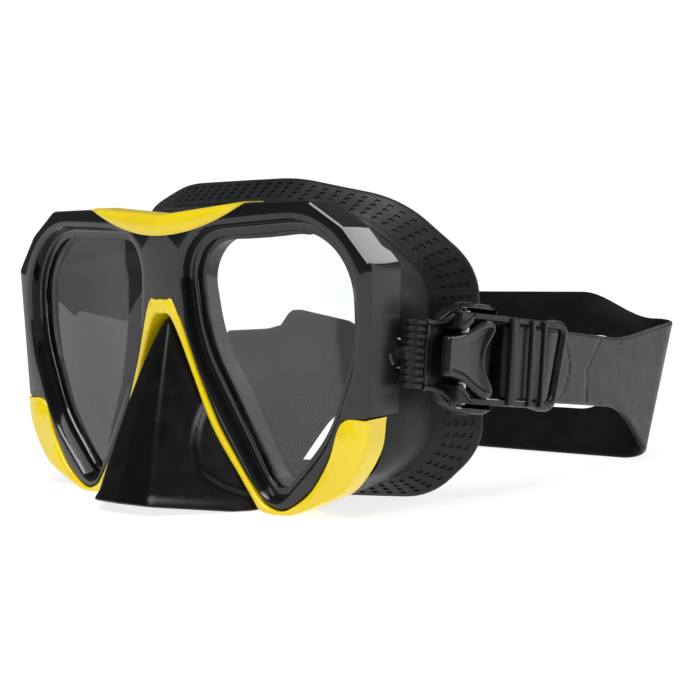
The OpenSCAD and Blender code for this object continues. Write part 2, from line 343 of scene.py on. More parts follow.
def add_object(name, data):
    obj = bpy.data.objects.new(name, data)
    bpy.context.scene.collection.objects.link(obj)
    return obj


def make(name, bm, material, body, stands_for, sharp=32.0):
    """Finishes a drawing: welds it, marks its sharp edges, and puts it on its body."""
    bmesh.ops.remove_doubles(bm, verts=bm.verts[:], dist=1e-3)
    bmesh.ops.recalc_face_normals(bm, faces=bm.faces[:])
    for face in bm.faces:
        face.smooth = True
    for edge in bm.edges:
        if len(edge.link_faces) == 2 and edge.calc_face_angle(0) > radians(sharp):
            edge.smooth = False
    for v in bm.verts:
        v.co = metres(v.co)
    mesh = bpy.data.meshes.new(name)
    bm.to_mesh(mesh)
    bm.free()
    obj = add_object(name, mesh)
    mesh.materials.append(material)
    if body:
        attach(obj, body)
    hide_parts(*stands_for)
    return obj


# ---------- materials ----------

class Paint:
    """A Principled material whose roughness and bump come from noise nodes."""

    def __init__(self, name):
        self.material = bpy.data.materials.new(name)
        self.material.use_nodes = True
        self.tree = self.material.node_tree
        self.shader = self.tree.nodes["Principled BSDF"]
        self.place = self.tree.nodes.new("ShaderNodeTexCoord").outputs["Object"]

    def set(self, **values):
        for key, value in values.items():
            self.shader.inputs[key.replace("_", " ")].default_value = value
        return self

    def noise(self, size_mm, detail=3.0, stretch=(1, 1, 1)):
        """Noise whose spots are about size_mm across, as a value from 0 to 1."""
        mapping = self.tree.nodes.new("ShaderNodeMapping")
        mapping.inputs["Scale"].default_value = stretch
        self.tree.links.new(self.place, mapping.inputs["Vector"])
        node = self.tree.nodes.new("ShaderNodeTexNoise")
        node.inputs["Scale"].default_value = 1 / (size_mm * MM)
        node.inputs["Detail"].default_value = detail
        self.tree.links.new(mapping.outputs["Vector"], node.inputs["Vector"])
        return node.outputs["Fac"]

    def remap(self, value, low, high):
        node = self.tree.nodes.new("ShaderNodeMapRange")
        node.inputs["From Min"].default_value = 0.3
        node.inputs["From Max"].default_value = 0.7
        node.inputs["To Min"].default_value = low
        node.inputs["To Max"].default_value = high
        self.tree.links.new(value, node.inputs["Value"])
        return node.outputs["Result"]

    def roughness(self, value, low, high):
        self.tree.links.new(self.remap(value, low, high), self.shader.inputs["Roughness"])
        return self

    def colours(self, value, low, high):
        """Base colour that drifts between two near shades."""
        node = self.tree.nodes.new("ShaderNodeMix")
        node.data_type = "RGBA"
        node.inputs["A"].default_value = (*low, 1)
        node.inputs["B"].default_value = (*high, 1)
        self.tree.links.new(self.remap(value, 0, 1), node.inputs["Factor"])
        self.tree.links.new(node.outputs["Result"], self.shader.inputs["Base Color"])
        return self

    def bump(self, value, height_mm):
        node = self.tree.nodes.new("ShaderNodeBump")
        node.inputs["Strength"].default_value = 1.0
        node.inputs["Distance"].default_value = height_mm * MM
        self.tree.links.new(value, node.inputs["Height"])
        old = self.shader.inputs["Normal"].links
        if old:
            self.tree.links.new(old[0].from_socket, node.inputs["Normal"])
        self.tree.links.new(node.outputs["Normal"], self.shader.inputs["Normal"])
        return self


def polished_black():
    paint = Paint("polished_black").set(Specular_IOR_Level=0.45, Coat_Weight=0.25, Coat_Roughness=0.03)
    paint.colours(paint.noise(30), (0.0035, 0.0038, 0.0045), (0.006, 0.0064, 0.0074))
    paint.roughness(paint.noise(9), 0.07, 0.13)
    return paint.bump(paint.noise(6, 1), 0.012).bump(paint.noise(0.5), 0.001).material


def frame_side():
    """Softer polish of the frame's side walls, with a faint upright grain."""
    paint = Paint("frame_side").set(Specular_IOR_Level=0.4)
    paint.colours(paint.noise(25), (0.008, 0.0088, 0.0105), (0.013, 0.0142, 0.0165))
    paint.roughness(paint.noise(9), 0.34, 0.42)
    return paint.bump(paint.noise(3, 2, (1, 1, 0.15)), 0.01).bump(paint.noise(0.5), 0.001).material


def polished_yellow():
    paint = Paint("polished_yellow").set(Specular_IOR_Level=0.5, Coat_Weight=0.25, Coat_Roughness=0.05)
    paint.set(Subsurface_Weight=0.06, Subsurface_Radius=(0.004, 0.003, 0.001), Subsurface_Scale=0.3)
    paint.colours(paint.noise(18), (0.90, 0.66, 0.004), (0.95, 0.73, 0.008))
    paint.roughness(paint.noise(7), 0.2, 0.3)
    return paint.bump(paint.noise(5, 1), 0.01).bump(paint.noise(0.4), 0.0015).material


def clear_glass():
    paint = Paint("clear_glass").set(IOR=1.45, Transmission_Weight=1.0, Base_Color=(0.93, 0.96, 0.965, 1))
    paint.roughness(paint.noise(14), 0.0, 0.012)
    return paint.material


def skirt_silicone():
    paint = Paint("skirt_silicone").set(Specular_IOR_Level=0.28, Sheen_Weight=0.05, Sheen_Roughness=0.5)
    paint.colours(paint.noise(12), (0.005, 0.0053, 0.006), (0.010, 0.0104, 0.0115))
    paint.roughness(paint.noise(5), 0.36, 0.5)
    return paint.bump(paint.noise(2.2), 0.02).bump(paint.noise(0.35), 0.006).material


def nose_silicone():
    paint = Paint("nose_silicone").set(Specular_IOR_Level=0.2, Coat_Weight=0.06, Coat_Roughness=0.2)
    paint.colours(paint.noise(12), (0.002, 0.0021, 0.0023), (0.004, 0.0041, 0.0045))
    paint.roughness(paint.noise(6), 0.24, 0.36)
    return paint.bump(paint.noise(2.5), 0.015).bump(paint.noise(0.35), 0.004).material


def strap_silicone():
    paint = Paint("strap_silicone").set(Specular_IOR_Level=0.4, Sheen_Weight=0.08, Sheen_Roughness=0.4)
    paint.colours(paint.noise(20), (0.009, 0.0098, 0.012), (0.015, 0.016, 0.0195))
    paint.roughness(paint.noise(6), 0.33, 0.46)
    return paint.bump(paint.noise(3), 0.02).bump(paint.noise(0.3), 0.005).material


def strap_shade_face():
    """Matt inner face of the strap, coloured darker than the outer face as painted shade."""
    paint = Paint("strap_shade_face").set(Specular_IOR_Level=0.15)
    paint.colours(paint.noise(20), (0.002, 0.0021, 0.0025), (0.004, 0.0042, 0.005))
    paint.roughness(paint.noise(5), 0.4, 0.55)
    return paint.bump(paint.noise(3), 0.02).bump(paint.noise(0.3), 0.005).material


def satin_plastic():
    paint = Paint("satin_plastic").set(Specular_IOR_Level=0.38)
    paint.colours(paint.noise(8), (0.004, 0.0042, 0.0047), (0.008, 0.0083, 0.009))
    paint.roughness(paint.noise(3), 0.26, 0.4)
    return paint.bump(paint.noise(0.45, 2), 0.008).bump(paint.noise(3), 0.012).material


def lever_plastic():
    paint = Paint("lever_plastic").set(Specular_IOR_Level=0.42, Coat_Weight=0.08, Coat_Roughness=0.15)
    paint.colours(paint.noise(8), (0.005, 0.0052, 0.0058), (0.009, 0.0093, 0.010))
    paint.roughness(paint.noise(4), 0.24, 0.34)
    return paint.bump(paint.noise(0.4, 2), 0.006).bump(paint.noise(4), 0.01).material


def brushed_steel():
    paint = Paint("brushed_steel").set(Metallic=1.0)
    paint.colours(paint.noise(2, 2, (1, 6, 6)), (0.42, 0.43, 0.45), (0.62, 0.63, 0.65))
    paint.roughness(paint.noise(0.6, 3, (1, 10, 10)), 0.2, 0.36)
    return paint.bump(paint.noise(0.3, 2, (1, 12, 12)), 0.004).material


# ---------- front frame, trims and glass ----------

OPENING = [(43, 0.8, 6.5), (66.5, 24, 50), (77.5, 52, 45), (76.5, FRAME_H - 5, 24), (8.5, FRAME_H - 8, 15),
           (12, 52, 55)]
HOLE = relaxed(ray_hits(rounded(OPENING, 16)), 3)
SEAM = 8    # how far a half runs past the middle before it is cut there
SIDE_REACH = 2.5
CHEEK_CUT = 6.0

# Edge of the black frame: over the brow, down the side, round the tip and back up beside the nose
FRAME_EDGE = [(-SEAM, FRAME_H - 4, 0.5), (36, FRAME_H, 30), (61, FRAME_H, 4), (74, FRAME_H - 8.2, 3),
              (84, FRAME_H - 20, 3), (81.5, 31, 1),
              (71.5, 30, 1), (66, 18, 10), (59, 8.2, 6), (51, 2.6, 4), (46, 1.2, 4), (41, 2.6, 4),
              (33, 11.5, 10), (22.4, 27, 30), (14.2, 44, 40), (8, 60, 3), (5.5, 66, 1), (-SEAM, 66.3, 0.5)]

# Inner and outer edge of the lower trim, from the middle down the nose, round the tip to the cheek
TRIM_STATIONS = [((-SEAM, 66.3), (-SEAM, 64)), ((2, 66.3), (-1, 61.8)), ((6.2, 64.6), (4.5, 60)),
                 ((14.2, 44), (12, 44)), ((22.4, 27), (20, 26)), ((33, 11.5), (30.8, 10.8)),
                 ((38, 5), (35, 5)), ((41, 2.6), (37.8, 1.3)), ((46, 1.2), (42, 0)), ((51, 2.6), (50, 0)),
                 ((59, 8.2), (62, 4.3)), ((66, 18), (71.5, 9.2)), ((71.3, 29.6), (79.6, 20.5)),
                 ((80.8, 30.6), (81.5, 30.9))]


def frame_shell(material, side_material):
    edge = ray_hits(rounded(FRAME_EDGE, 5))
    profile = [("a", -3.0, 4.95), ("a", -3.1, 4.5), ("a", -2.9, 4.15), ("a", -1.0, 4.0), ("a", -0.35, 3.6),
               ("a", 0.1, 1.6), ("a", 0.35, 0.75), ("a", 0.85, 0.2), ("a", 1.6, 0.0), ("a", 2.6, 0.0),
               ("b", 1.5, 0.0), ("b", 0.6, 0.22), ("b", 0.12, 0.75), ("b", 0.0, 1.6),
               ("b", 0.0, FRAME_D - 1.0), ("b", 0.35, FRAME_D - 0.25), ("b", 1.0, FRAME_D),
               ("a", 2.2, FRAME_D), ("a", 1.1, FRAME_D - 0.6), ("a", 1.0, 4.95)]
    bm = bmesh.new()
    add_grid(bm, bands(HOLE, edge, profile), close_rows=True)
    # the side wall reaches further back than the rest of the frame
    for v in bm.verts:
        v.co.y += SIDE_REACH * ease((v.co.x - 79) / 2) * ease((v.co.y - 2) / (FRAME_D - 3))
    turn_outward(bm)
    mirror_whole(bm)
    add_lug(bm, 1)
    add_lug(bm, -1)
    shell = make("frame_shell", bm, material, "mask", ["front_frame"], sharp=24)
    shell.data.materials.append(side_material)
    for face in shell.data.polygons:
        if abs(face.normal.x) > 0.85 and abs(face.center.x) > (HALF_W - 8) * MM:
            face.material_index = 1


def add_lug(bm, side):
    """Ear behind the frame's side wall that holds the link pin."""
    inner, outer, radius = 78.2, 81.8, 4.6
    bore = 1.5
    around = 40
    rows = []
    for x, r in ((inner, bore), (inner, radius - 0.5), (inner + 0.5, radius), (outer - 0.5, radius),
                 (outer, radius - 0.5), (outer, bore)):
        row = []
        for i in range(around):
            angle = 2 * pi * i / around
            y = r * sin(angle)
            row.append(Vector((side * x, SWING.y + y, SWING.z + r * cos(angle))))
        rows.append(row)
    add_grid(bm, rows, close_rows=True)


def bridge_trim(material):
    reach = 36
    deep = node_box("bridge_trim")[1].y - 1
    xs = [reach * (1 - (1 - i / 60) ** 1.4) for i in range(61)]
    xs = [-SEAM, -SEAM / 2] + xs
    lower = [Vector((x, FRAME_H - 9.5 + 9 * (x / reach) ** 2)) for x in xs]
    upper = [Vector((x, max(FRAME_H - 2.7 + 3.1 * x / reach, low.y + 0.1))) for x, low in zip(xs, lower)]
    profile = [("a", 0, deep), ("a", 0, 0.5), ("a", 0.15, 0.0), ("a", 0.6, -0.4), ("a", 1.4, -0.6),
               ("b", 2.2, -0.6), ("b", 1.1, -0.35), ("b", 0.3, 0.4), ("b", 0, 1.4), ("b", 0, deep)]
    bm = bmesh.new()
    add_grid(bm, bands(lower, upper, profile), cap=True)
    turn_outward(bm)
    mirror_whole(bm)
    make("brow_trim", bm, material, "mask", ["bridge_trim"], sharp=40)


def lower_trim(material):
    steps = 9
    inner = smooth_through([s[0] for s in TRIM_STATIONS], steps)
    outer = smooth_through([s[1] for s in TRIM_STATIONS], steps)
    deep = FRAME_D - 0.4
    profile = [("a", 0, deep), ("a", 0, 0.3), ("a", 0.12, -0.15), ("a", 0.45, -0.4),
               ("b", 1.1, -0.4), ("b", 0.45, -0.2), ("b", 0.08, 0.3), ("b", 0, 1.0), ("b", 0, deep)]
    bm = bmesh.new()
    add_grid(bm, bands(inner, outer, profile), cap=True)
    # the cheek's side wall gets shallower towards its tip
    for v in bm.verts:
        v.co.z = max(0, v.co.z)
        if v.co.y > deep - 1:
            v.co.y -= CHEEK_CUT * ease((v.co.x - 48) / 14) * mix(1, 0.7, v.co.z / 30)
    turn_outward(bm)
    mirror_whole(bm)
    make("cheek_trim", bm, material, "mask", ["lower_trim"], sharp=40)


def glass(bm):
    add_plate(bm, grown(HOLE, 0.6), GLASS_Y, GLASS_Y + GLASS_T, 0.35)
    turn_outward(bm)


def clamp_ring(bm):
    """Hard ring behind the glass, out of sight inside the frame."""
    outer, inner = grown(HOLE, 0.7), grown(HOLE, -2.5)
    front = LIP_Y + 1.4
    back = front + 2.3
    profile = [("a", 0, front), ("a", 0, back), ("b", 0, back), ("b", 0, front)]
    add_grid(bm, bands(inner, outer, profile), close_rows=True)
    turn_outward(bm)


# ---------- skirt ----------

FLANGE_Y = 37           # depth of the flange in the middle
TEMPLE_REACH = 25       # how much deeper it is at the temples
FLANGE_PITCH = 4.4      # distance between rows of recesses round the flange
SOCKET_W = 1.7          # width of a recess along the edge
SOCKET_DEPTH = 0.45


def both_halves(corners):
    return corners + [(-x, z, r) for x, z, r in reversed(corners)]


FRONT_RING = both_halves([(50, 2, 10), (74, 14, 12), (76, 74, 14), (60, FRAME_H - 5, 10),
                          (26, FRAME_H - 3.5, 20)])
EDGE_RING = both_halves([(FLANGE_W - 15, 0.3, 18), (FLANGE_W, 16, 22), (FLANGE_W, FLANGE_H - 30, 24),
                         (60, FLANGE_H - 8, 36), (26, FLANGE_H, 60)])


def flange_y(x):
    """Depth of the flange, which follows a face: further back at the temples."""
    return FLANGE_Y + TEMPLE_REACH * (x / FLANGE_W) ** 2


def front_y(x):
    return WEB_Y + abs(x) * tan(WRAP)


def matched(outlines, step_lengths):
    """The outlines resampled together, at the given distances along the last one."""
    lead = outlines[-1]
    count = len(lead)
    lengths = distances(lead + lead[:1])
    result = [[] for _ in outlines]
    k = 0
    for length in step_lengths:
        while k < count - 1 and lengths[k + 1] <= length:
            k += 1
        share = (length - lengths[k]) / max(1e-9, lengths[k + 1] - lengths[k])
        for points, outline in zip(result, outlines):
            points.append(mix(outline[k], outline[(k + 1) % count], share))
    return result


def skirt_wall(material):
    edge_line = rounded(EDGE_RING, 10)
    front_line = rounded(FRONT_RING, 10)
    around = distances(edge_line + edge_line[:1])[-1]
    pitches = round(around / FLANGE_PITCH)
    pitch = around / pitches
    shares = (0, 0.5 * SOCKET_W / pitch, SOCKET_W / pitch, 0.5 * (1 + SOCKET_W / pitch))
    stations = [(i + share) * pitch for i in range(pitches) for share in shares]
    front, edge = matched([front_line, edge_line], stations)

    def ring(to_edge, inset, back):
        """One ring of the wall: its place from the front (0) to the flange (1), its inset and its depth."""
        base = [mix(a, b, to_edge) for a, b in zip(front, edge)]
        return [Vector((p.x, mix(front_y(p.x), flange_y(p.x), to_edge) + back, p.y))
                for p in grown(base, -inset)]

    rows = [ring(0, 0, 0)]
    ridge = ring(1, 8.2, -10.5)
    wall_steps = 9
    for i in range(1, wall_steps + 1):
        t = i / wall_steps
        straight = [a.lerp(b, t) for a, b in zip(rows[0], ridge)]
        rows.append(swell(straight, 1.6 * sin(pi * t) * (1 - 0.3 * t)))
    rows += [ring(1, 7.5, -10.2), ring(1, 6.9, -9.4), ring(1, 6.5, -8.6)]
    # the band with its four columns of recesses, from the ridge to the edge
    sockets = []
    start, end = 6.2, 1.0
    columns = 4
    for i in range(columns):
        for part in (0.12, 0.78):
            t = (i + part) / columns
            inset = mix(start, end, t)
            rows.append(ring(1, inset, -0.8 - 8.0 * (inset / 6.5) ** 1.15))
        sockets.append(len(rows) - 2)
    # round the edge, in along the side that meets the face, and forward inside the wall
    for inset, back in ((0.45, -1.2), (0.1, -0.7), (0, -0.1), (0.12, 0.45), (0.6, 0.8), (7, 1.3),
                        (13.6, 1.3), (14.6, 0.9), (14.9, 0.3), (14.4, -0.3), (9, -0.9), (6, -2.2),
                        (7, -6), (9.6, -10.5)):
        rows.append(ring(1, inset, back))
    inner = [a.lerp(b, 0.5) for a, b in zip(ring(0, 2, 0.6), ring(1, 9.9, -11))]
    rows += [swell(inner, 1.2), ring(0, 2, 0.6)]
    bm = bmesh.new()
    faces = add_grid(bm, rows, close_rows=True)
    across = len(rows[0])
    chosen = [faces[row * across + i * len(shares) + k]
              for row in sockets for i in range(pitches) for k in (0, 1)]
    bmesh.ops.recalc_face_normals(bm, faces=bm.faces[:])
    bmesh.ops.inset_region(bm, faces=chosen, thickness=0.12, depth=-SOCKET_DEPTH, use_even_offset=True)
    make("skirt_wall", bm, material, "mask", ["skirt"], sharp=40)


def swell(row, out):
    """A ring of the skirt moved outward from the middle of the mask, in the plane of the frame."""
    middle = FRAME_H / 2
    result = []
    for p in row:
        way = Vector((p.x, 0, p.z - middle)).normalized()
        result.append(p + out * way)
    return result


def skirt_web(material):
    """Web behind the frame, with the tunnel that seals each glass."""
    outline = rounded([(-SEAM, 92, 1), (56, FRAME_H - 4.5, 8), (75, 74, 8), (74, 18, 8), (48, 2, 8),
                       (37, 2.5, 2), (19.5, 26, 8), (11.4, 44, 20), (4.5, 59, 3), (-SEAM, 62, 1)], 5)
    edge = ray_hits(outline)
    profile = [("a", -4.7, WEB_Y + 1.8), ("a", -4.6, LIP_Y + 0.8), ("a", -4.45, LIP_Y + 0.25),
               ("a", -4.0, LIP_Y), ("a", 0.4, LIP_Y), ("a", 0.4, LIP_Y + 1.2), ("a", -2.8, LIP_Y + 1.3),
               ("a", -2.8, WEB_Y), ("b", 0, WEB_Y), ("b", 0, WEB_Y + 2), ("a", -3.6, WEB_Y + 2)]
    bm = bmesh.new()
    add_grid(bm, bands(HOLE, edge, profile), close_rows=True)
    turn_outward(bm)
    mirror_whole(bm)
    make("skirt_web", bm, material, "mask", ["skirt"], sharp=40)


def nose_pocket(material):
    """Pyramid that holds the nose, with pinch pads on its sides and a flared foot."""
    top, bottom = 59.0, 0.8
    tall = 60
    deep = WEB_Y + 3
    pieces = 44

    def section(z):
        """Half section from the middle of the front round to the back, as (x, y) points."""
        t = (top - z) / (top - bottom)
        flare = 0.5 * ease((4.2 - z) / 3)
        wide = mix(2.6, 34.6, t ** 1.05)
        front = mix(1.2, 12.4, t ** 0.75) + flare
        y = mix(2.0, 0.9 - NOSE_OUT, t ** 0.9) - 0.8 * sin(pi * t) - flare
        r = mix(1.0, 5.2, t)
        corners = [(0, y, 0), (front, y + 0.3 * r, r), (wide, 4.6, min(3.0, r)), (wide + 0.3, deep, 0)]
        line = open_path(corners, 7)
        return resample(line, distances(line)[-1] / pieces)[:pieces + 1]

    rows = []
    for i in range(tall + 1):
        z = mix(top, bottom, i / tall)
        right = [Vector((p.x, p.y, z)) for p in section(z)]
        pinch_pad(right, z)
        rows.append([Vector((-p.x, p.y, p.z)) for p in reversed(right[1:])] + right)
    crown = [Vector((p.x * 0.5, p.y + 0.8, top + 0.9)) for p in rows[0]]
    closed_top = [Vector((0, p.y + 1.4, top + 1.2)) for p in rows[0]]
    low_bend = [Vector((p.x * 0.993, mix(p.y, deep, 0.006), bottom - 0.3)) for p in rows[-1]]
    rounding = [Vector((p.x * 0.975, mix(p.y, deep, 0.02), bottom - 0.58)) for p in rows[-1]]
    sole = [Vector((p.x * 0.94, mix(p.y, deep, 0.05), 0.12)) for p in rows[-1]]
    closed_sole = [Vector((0, mix(p.y, deep, 0.1), 0.1)) for p in rows[-1]]
    rows = [closed_top, crown] + rows + [low_bend, rounding, sole, closed_sole]
    for row in rows:
        for p in row:
            p.z += 3.2 * max(0.0, -p.y) / NOSE_OUT * (1 - p.z / top)
    bm = bmesh.new()
    add_grid(bm, rows, close_columns=False)
    make("nose_pocket", bm, material, "mask", ["skirt"], sharp=50)


def pinch_pad(row, z):
    """Raised leaf on the side of the nose pocket, where the fingers pinch."""
    spread = 21 if z > 14 else 9
    edge = -5 + 9.5 * ((z - 14) / spread) ** 2
    for p in row:
        rise = 1.1 * ease((p.y - edge) / 1.6) * ease((10 - p.y) / 3)
        p.x += rise * min(1, p.x / 8)
        p.y -= 0.5 * rise


# ---------- links ----------

ROUND = 40      # points round a rod


def rim_steps(start, end, bevel):
    """(place, inset) steps along a piece whose two ends are rounded."""
    return [(start, bevel), (start + 0.3 * bevel, 0.3 * bevel), (start + bevel, 0),
            (end - bevel, 0), (end - 0.3 * bevel, 0.3 * bevel), (end, bevel)]


def add_bar(bm, x0, x1, s0, s1, w0, w1, bevel):
    """Block with rounded edges, given along the strap."""
    corners = rounded([(s0, w0, bevel), (s1, w0, bevel), (s1, w1, bevel), (s0, w1, bevel)], 3)
    rows = [[along(x, p.x, p.y) for p in grown(corners, -inset)] for x, inset in rim_steps(x0, x1, bevel)]
    add_grid(bm, rows, cap=True)


def add_slab(bm, outline, x0, x1, bevel, steps=3):
    """Plate of an (s, w) outline from x0 to x1, with its outer rim rounded."""
    rows = [[along(x0, p.x, p.y) for p in outline]]
    for i in range(steps + 1):
        turn = pi / 2 * i / steps
        x = x1 - bevel * (1 - sin(turn))
        rows.append([along(x, p.x, p.y) for p in grown(outline, -bevel * (1 - cos(turn)))])
    add_grid(bm, rows, cap=True)


def add_rod(bm, x0, x1, radius):
    """Round bar on the link pin's line, along X, with rounded ends."""
    rows = []
    for x, inset in rim_steps(x0, x1, min(0.4, radius / 3)):
        r = radius - inset
        rows.append([along(x, r * cos(2 * pi * i / ROUND), r * sin(2 * pi * i / ROUND))
                     for i in range(ROUND)])
    add_grid(bm, rows, cap=True)


def circle(x, s, w, r, around):
    """Points round a line that runs across the strap."""
    return [along(x + r * cos(2 * pi * i / around), s + r * sin(2 * pi * i / around), w)
            for i in range(around)]


def add_cross_rod(bm, x, s, half, radius):
    """Round bar across the strap."""
    soft = 0.3
    ends = ((-half, radius - soft), (-half + soft, radius), (half - soft, radius), (half, radius - soft))
    add_grid(bm, [circle(x, s, w, r, ROUND) for w, r in ends], cap=True)


def for_both(build, name, material, body, node):
    """Builds a piece for the left side and its mirror image for the right."""
    done = []
    for end, side in (("left", 1), ("right", -1)):
        bm = bmesh.new()
        build(bm)
        if side < 0:
            flip_side(bm)
        where = body.format(end) if body else None
        done.append(make(f"{name}_{end}", bm, material, where, [f"{node}_{end}"]))
    return done


LINK_H = 20.4
RIBS = 10
RIB_S = -1.4
RIB_END = 5.0
TONGUE_END = 9.2


def add_profile(bm, side, low, high, bevel):
    """Plate across the strap from w = low to w = high, whose (s, x) outline is seen from its edge."""
    rows = [[along(p.y, p.x, w) for p in grown(side, -inset)] for w, inset in rim_steps(low, high, bevel)]
    add_grid(bm, rows, cap=True)


def link(bm):
    """Ribbed silicone link: a barrel on the pin, ten fins and the tongue that runs into the bracket."""
    add_rod(bm, LINK_IN + 0.1, LINK_OUT - 1.6, 2.5)
    middle = mix(LINK_IN, LINK_OUT, 0.5)
    add_bar(bm, middle - 0.9, middle + 1.1, RIB_S + 0.6, RIB_END, -LINK_H / 2 + 0.6, LINK_H / 2 - 0.6, 0.3)
    add_bar(bm, middle, middle + 1.3, RIB_END - 0.5, TONGUE_END, -LINK_H / 2 + 0.2, LINK_H / 2 - 0.2, 0.3)
    fin = 1.35
    for i in range(RIBS):
        low = -LINK_H / 2 + i * (LINK_H - fin) / (RIBS - 1)
        end = RIB_END + 0.5 * (i % 2) - 0.25
        side = rounded([(RIB_S, LINK_IN + 0.3, 0.3), (end, LINK_IN + 0.3, 0.3), (end, LINK_OUT - 0.1, 0.8),
                        (RIB_S + 1.6, LINK_OUT - 0.1, 1.2), (RIB_S, LINK_OUT - 2.2, 0.8)], 4)
        add_profile(bm, side, low, low + fin, 0.4)


def links(material):
    pieces = for_both(link, "ribbed_link", material, None, "side_link")
    for piece in pieces:
        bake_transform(piece)


def link_pin(bm):
    add_rod(bm, 78.4, LINK_OUT - 1.8, 1.5)


# ---------- buckles ----------

PLATE_X = 84.0
BRACKET_EDGE = [(5.4, 10.4), (9.5, 10.7), (13, 11.8), (17, 14.6), (20.5, EAR_OUT - 0.5), (25, EAR_OUT),
                (29.5, EAR_OUT - 0.1), (33, EAR_OUT - 1.4)]


def mirrored(points):
    return [Vector((p.x, -p.y)) for p in reversed(points)]


def bracket(bm):
    """Shell from the link to the strap guide: a floor between wavy rims that flare into two ears."""
    upper = smooth_through(BRACKET_EDGE, 6)
    add_slab(bm, mirrored(upper) + upper, PLATE_X, PLATE_X + 1.8, 0.4)
    # mouth round the tongue of the link
    mouth = rounded([(5.4, -10.6, 0.6), (7.6, -10.9, 0.8), (7.6, 10.9, 0.8), (5.4, 10.6, 0.6)], 5)
    add_slab(bm, mouth, PLATE_X, PLATE_X + 3.2, 0.6)
    for side in (-1, 1):
        foot = side * (RAIL_OUT + 0.15)
        ear = rounded([(16.5, foot, 0.4), (33, foot, 0.6), (33, side * (EAR_OUT - 1.5), 1.3),
                       (29, side * EAR_OUT, 4), (22, side * (EAR_OUT - 0.1), 3),
                       (17.6, side * (EAR_OUT - 1.9), 1.2)][::side], 5)
        add_slab(bm, ear, PLATE_X, PLATE_X + 8.2, 1.0, 5)
        # wavy rim along the edge, rising towards the ear, and a thinner one inside it
        outer = [Vector((p.x, side * (p.y - 0.8))) for p in upper]
        add_wall(bm, outer, 1.6, lambda s: PLATE_X + mix(3.6, 7.6, ease((s - 7) / 14)))
        inner = [Vector((s, side * (mix(9.0, RAIL_OUT + 0.6, ease((s - 8) / 9))))) for s in range(6, 18)]
        add_wall(bm, inner, 1.0, lambda s: PLATE_X + mix(2.6, 5.2, ease((s - 7) / 10)))
        # shoulder that holds the lever pin
        shoulder = rounded([(14.8, side * 8.6, 0.6), (17.6, side * 8.0, 0.8), (21.6, side * 10.8, 0.8),
                            (22.4, side * RAIL_OUT, 0.4), (14.8, side * RAIL_OUT, 0.6)][::side], 4)
        add_slab(bm, shoulder, PLATE_X + 0.5, LEVER_X + 1.8, 0.7)


def add_wall(bm, line, width, top_at):
    """Wall with a rounded top that stands on the bracket's floor along an (s, w) line."""
    half = width / 2
    foot = PLATE_X + 0.5
    rows = []
    for i, p in enumerate(line):
        side = side_at(line, i)
        top = top_at(p.x)
        section = [(-half, foot), (-half, top - half)]
        for turn in (pi / 6, pi / 3, pi / 2, 2 * pi / 3, 5 * pi / 6):
            section.append((-half * cos(turn), top - half + half * sin(turn)))
        section += [(half, top - half), (half, foot)]
        row = []
        for across, x in section:
            q = p + side * across
            row.append(along(x, q.x, q.y))
        rows.append(row)
    add_grid(bm, rows, cap=True)


def lever_outline():
    half = [(9.3, 6.1, 1.0), (13, 6.3, 4), (17.5, 7.2, 8), (22.5, 10.0, 6), (27.5, 12.2, 4),
            (32.9, 11.9, 2.2), (31.2, 8.0, 3.5), (26.0, 0, 9)]
    whole = half + [(s, -w, r) for s, w, r in reversed(half[:-1])]
    return rounded(whole[::-1], 7)


def lever(bm):
    """Hourglass release lever: a dished middle inside a thick rounded rim that rises to two rear lobes."""
    outline = relaxed(resample(lever_outline(), 0.5, closed=True), 2)
    base = LEVER_X - 0.4
    top = LEVER_X + 2.6
    # inset, height and share of the lobes' rise, from the foot over the rim to the dish
    steps = [(0.0, base, 0), (0.0, top - 1.5, 0.6), (0.1, top - 0.9, 1), (0.4, top - 0.35, 1),
             (0.85, top - 0.05, 1), (1.3, top, 1), (1.75, top - 0.12, 1), (2.2, top - 0.4, 1),
             (2.6, top - 0.7, 0.8), (3.0, top - 0.85, 0.5)]
    rows = []
    for inset, x, share in steps:
        ring = relaxed(grown(outline, -inset), round(3 * inset))
        rows.append([along(x + share * lobe_rise(p), p.x, p.y) for p in ring])
    count = len(outline)
    add_grid(bm, rows)
    bm.verts.ensure_lookup_table()
    bm.faces.new(bm.verts[:count][::-1])
    last = bm.verts[(len(rows) - 1) * count:len(rows) * count]
    rim = [bm.edges.get((last[i], last[(i + 1) % count])) for i in range(count)]
    bmesh.ops.triangle_fill(bm, edges=rim)
    add_cross_rod(bm, LEVER_X - 0.8, LEVER_S, 6.6, 2.2)


def lobe_rise(p):
    """How much the lever's rim rises towards its rear corners."""
    return 0.55 * ease((p.x - 20) / 10) * ease((abs(p.y) - 2) / 6) - 0.25


def guide(bm):
    """Ladder that holds the roller: two thin rails, three cross bars and a rounded rear bar."""
    front = 15.5
    for side in (-1, 1):
        low, high = sorted((side * (RAIL_IN - 0.5), side * RAIL_OUT))
        end = GUIDE_END - 2 if side > 0 else GUIDE_END - 2 - REAR_SLANT * 2 * RAIL_OUT
        outline = rounded([(front, RAIL_X + 0.6, 1.2), (end, RAIL_X + 2.6, 1.6),
                           (end, RAIL_TOP - 1.2, 1.5), (54, RAIL_TOP, 12), (38, RAIL_TOP, 6),
                           (front, RAIL_TOP - 1.4, 1.5)], 5)
        add_profile(bm, outline, low, high, 0.35)
    bar_x = ROLLER_X + TURN_R + STRAP_T / 2 + 0.3
    cross_bars = ((39, 4.0), (49.5, 1.9), (56, 1.7))
    for s, width in cross_bars:
        add_bar(bm, bar_x, bar_x + 1.5, s, s + width, -RAIL_OUT + 0.2, RAIL_OUT - 0.2, 0.45)
    add_bar(bm, RAIL_X, RAIL_X + 1.2, 24, 36, -RAIL_IN - 0.3, RAIL_IN + 0.3, 0.3)
    rear_bar(bm, RAIL_TOP - 1.5)


